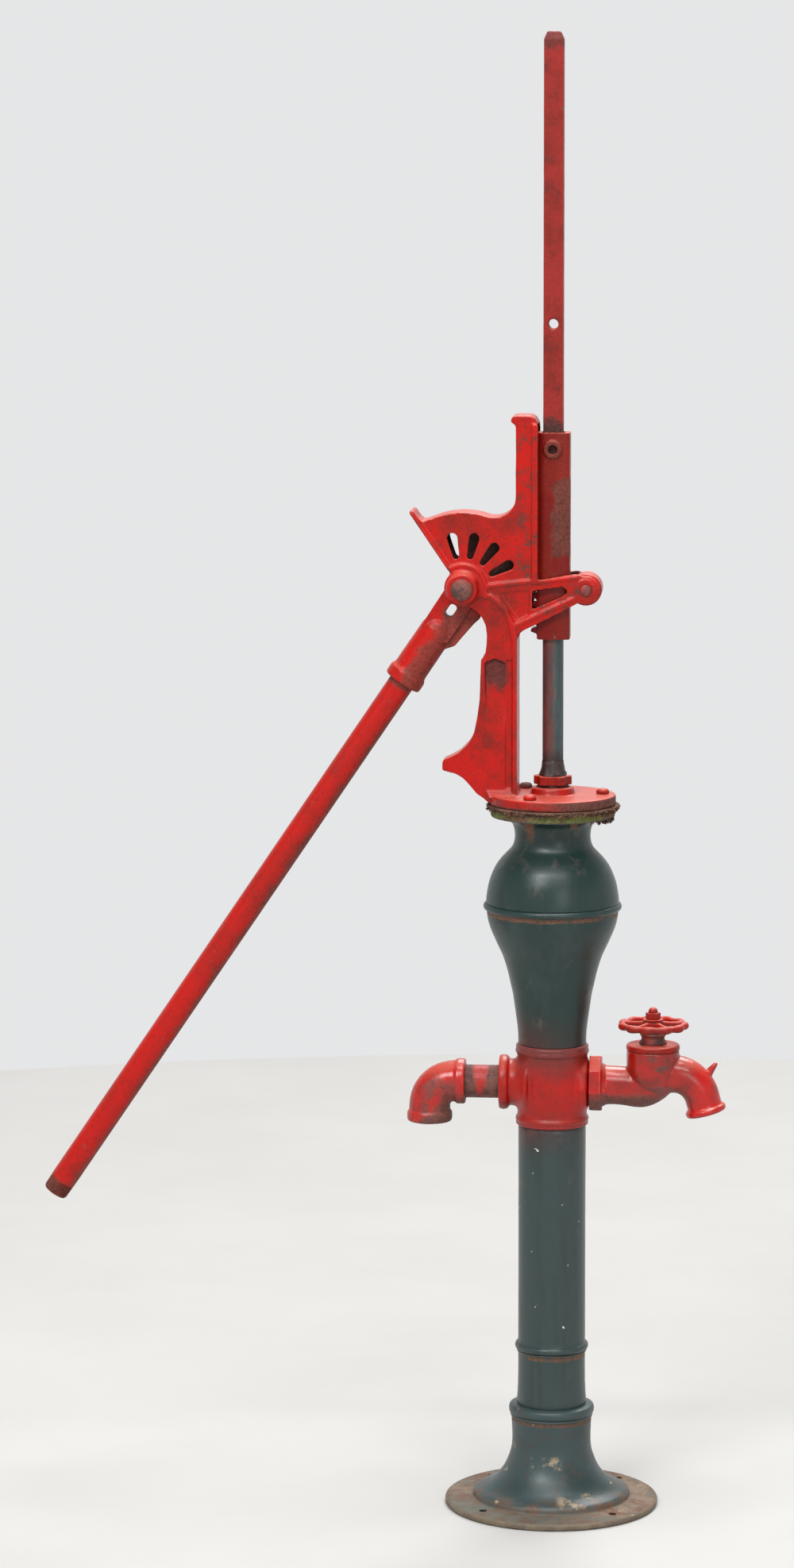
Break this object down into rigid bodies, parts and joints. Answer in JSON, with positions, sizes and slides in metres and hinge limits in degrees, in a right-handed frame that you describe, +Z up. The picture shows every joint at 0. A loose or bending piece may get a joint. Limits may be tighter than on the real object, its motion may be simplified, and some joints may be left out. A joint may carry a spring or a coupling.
{
  "type": "hand well pump",
  "caption": "Upright hand pump on a bolting flange, with a geared lever head, rack slide, pump rod, air chamber, side elbow and screw-down faucet.",
  "frame": {"origin": "centre of the base flange's underside, on the stand pipe's axis", "axes": "+Z up along the stand pipe, +X from the lever towards the faucet, the front faces -Y"},
  "size_m": [0.8822, 0.274, 1.897],
  "materials": {
    "red_paint": "gloss red paint over cast iron, chipped and rusting at the edges",
    "worn_red_paint": "red paint worn through to brown iron where the gear works",
    "red_over_green_paint": "red paint sprayed over green, fading out at both ends",
    "green_paint": "satin dark green paint with rust lines under the beads",
    "base_paint": "dark green paint worn to rusty brown iron on the flange",
    "rusty_iron": "matt rusty brown iron",
    "rod_steel": "old paint, rust and grease on a steel rod",
    "bare_steel": "dull steel",
    "gasket_fibre": "decayed gasket with moss",
    "packing_fibre": "greased fibre"
  },
  "bodies": {
    "stand": {"base_flange": "base_paint", "column": "green_paint", "cross_fitting": "red_over_green_paint", "air_chamber": "green_paint", "cap_gasket": "gasket_fibre", "bearer_stand": "red_paint", "cap_bolt_1": "red_paint", "cap_bolt_2": "rusty_iron", "cap_bolt_3": "red_paint", "rod_packing": "packing_fibre", "gland_nut": "red_paint", "fulcrum_pin": "rusty_iron", "fulcrum_nut": "rusty_iron", "roller_pin": "rusty_iron", "side_nipple": "rusty_iron", "side_elbow": "red_paint", "faucet_body": "red_paint", "faucet_bonnet": "red_paint", "stem_gland_nut": "rusty_iron"},
    "lever": {"lever": "worn_red_paint", "handle_pipe": "red_paint"},
    "slide": {"rack_slide": "worn_red_paint"},
    "rod": {"square_bar": "worn_red_paint", "pump_rod": "rod_steel"},
    "roller": {"guide_roller": "worn_red_paint"},
    "valve_spindle": {"valve_disc": "bare_steel", "valve_washer": "packing_fibre"},
    "handwheel": {"valve_stem": "rusty_iron", "handwheel": "red_paint", "wheel_washer": "red_paint", "wheel_nut": "red_paint"}
  },
  "joints": [
    {"name": "handle_pivot", "type": "hinge", "parent": "stand", "child": "lever", "pos_m": [-0.114, 0, 1.189], "axis": [0, 1, 0], "range_deg": [0, 96]},
    {"name": "slide_travel", "type": "slide", "parent": "stand", "child": "slide", "axis": [0, 0, 1], "range_m": [-0.151, 0]},
    {"name": "rod_travel", "type": "slide", "parent": "stand", "child": "rod", "axis": [0, 0, 1], "range_m": [-0.31, 0.03]},
    {"name": "roller_spin", "type": "hinge", "parent": "stand", "child": "roller", "pos_m": [0.0426, 0, 1.1875], "axis": [0, 1, 0], "continuous": true},
    {"name": "stem_lift", "type": "slide", "parent": "stand", "child": "valve_spindle", "axis": [0, 0, 1], "range_m": [0, 0.0068]},
    {"name": "wheel_turn", "type": "hinge", "parent": "valve_spindle", "child": "handwheel", "pos_m": [0.1295, 0, 0.625], "axis": [0, 0, 1], "range_deg": [0, 810]}
  ],
  "couplings": [
    {"joint": "slide_travel", "follows": "handle_pivot", "m_per_rad": -0.08925},
    {"joint": "roller_spin", "follows": "handle_pivot", "ratio": -4.375},
    {"joint": "stem_lift", "follows": "wheel_turn", "m_per_rad": 0.0004775}
  ]
}
